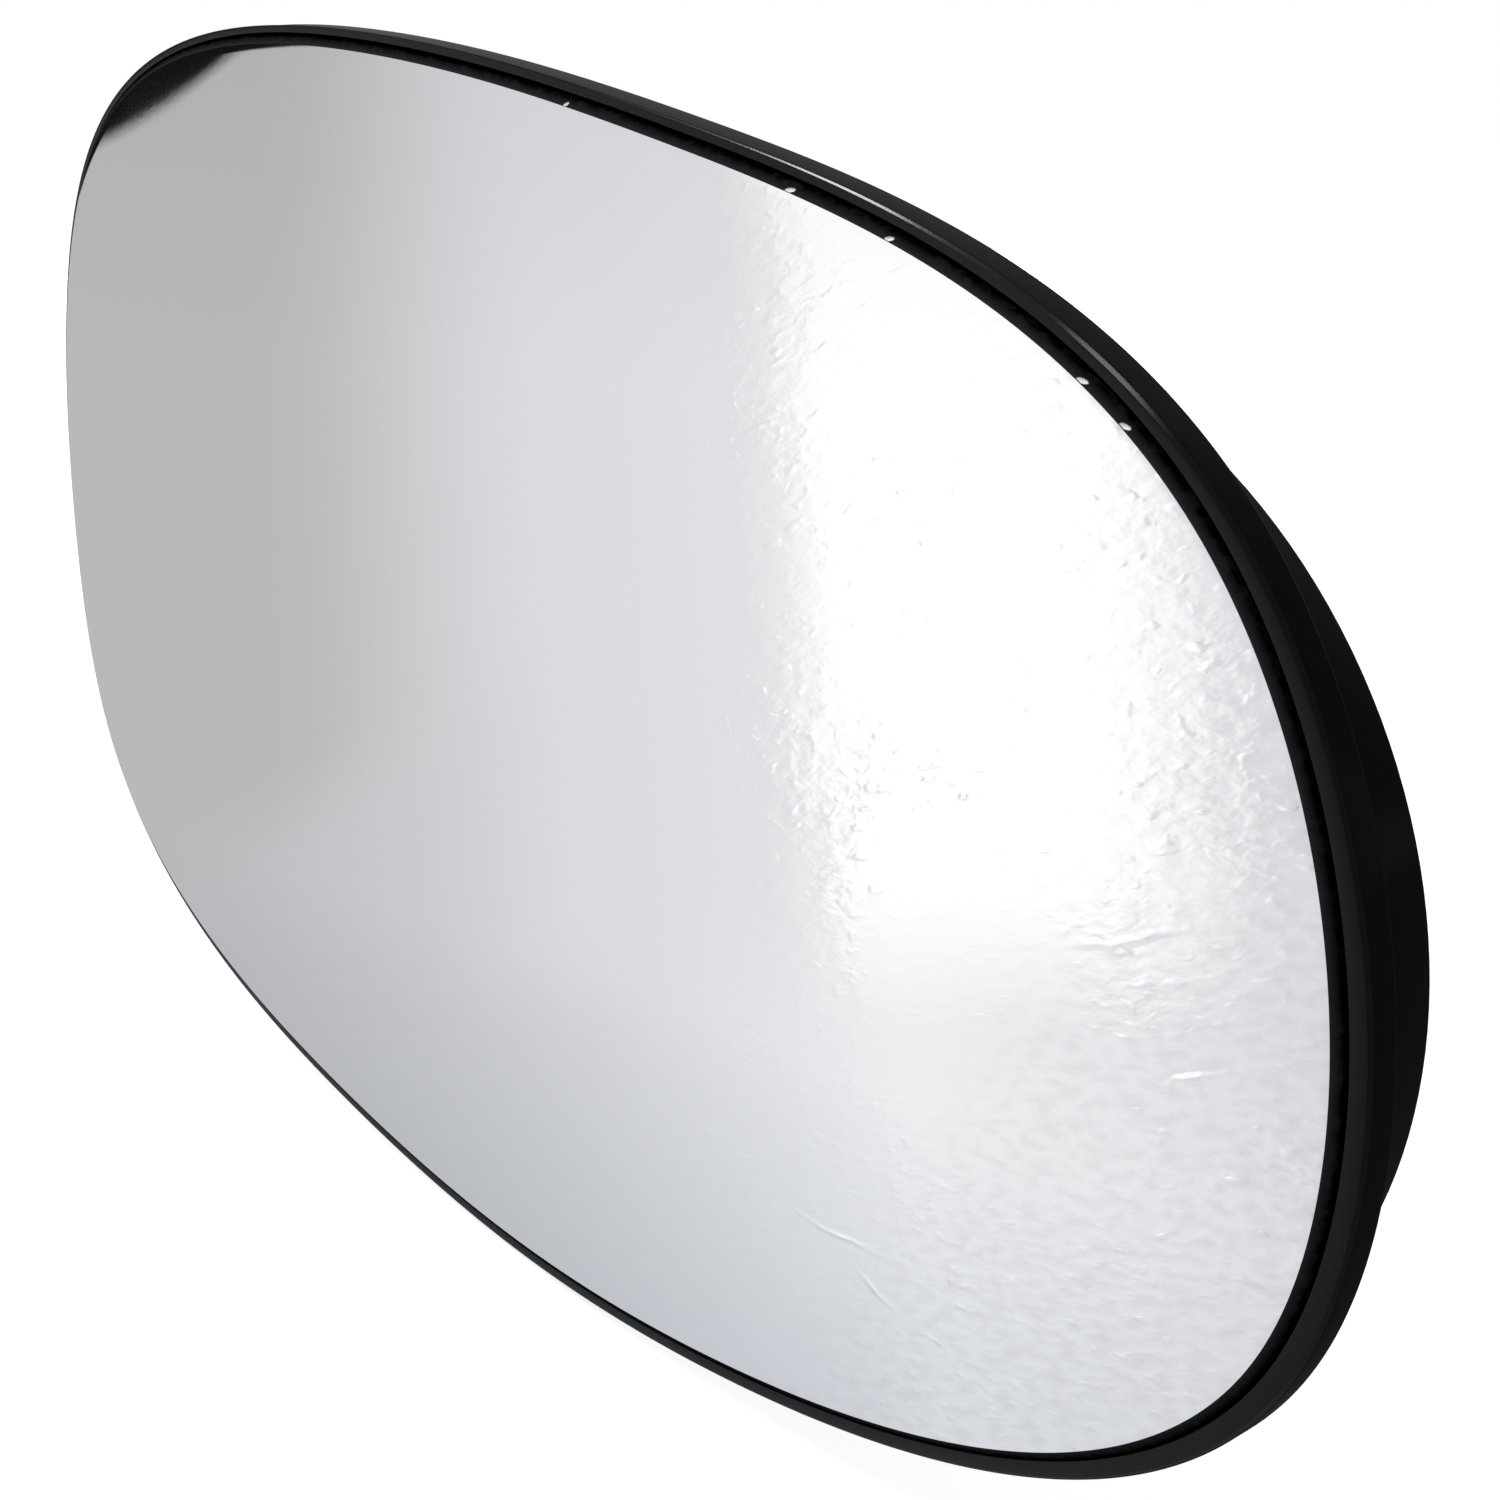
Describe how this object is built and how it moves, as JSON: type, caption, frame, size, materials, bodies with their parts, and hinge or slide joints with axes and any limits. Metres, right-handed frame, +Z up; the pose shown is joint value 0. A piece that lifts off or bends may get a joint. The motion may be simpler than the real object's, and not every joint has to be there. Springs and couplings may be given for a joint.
{
  "type": "car door mirror glass",
  "caption": "Convex rear-view door mirror glass bonded into a black moulded backing plate, with a snap ring on the back for the mirror's actuator.",
  "frame": {"origin": "on the axis of the snap ring, at the flat seat inside it", "axes": "+Z up and +X to the right as the driver looks at the mirror, which faces -Y; +Y points out of the ring's mouth at the back"},
  "size_m": [0.1709, 0.0141, 0.1055],
  "materials": {
    "silvered_glass": "polished, with a ground edge",
    "foam_tape": "matte foam",
    "black_plastic": "satin moulded"
  },
  "bodies": {
    "root": {"mirror_glass": "silvered_glass", "adhesive_pad": "foam_tape", "backing_plate": "black_plastic"}
  },
  "joints": []
}
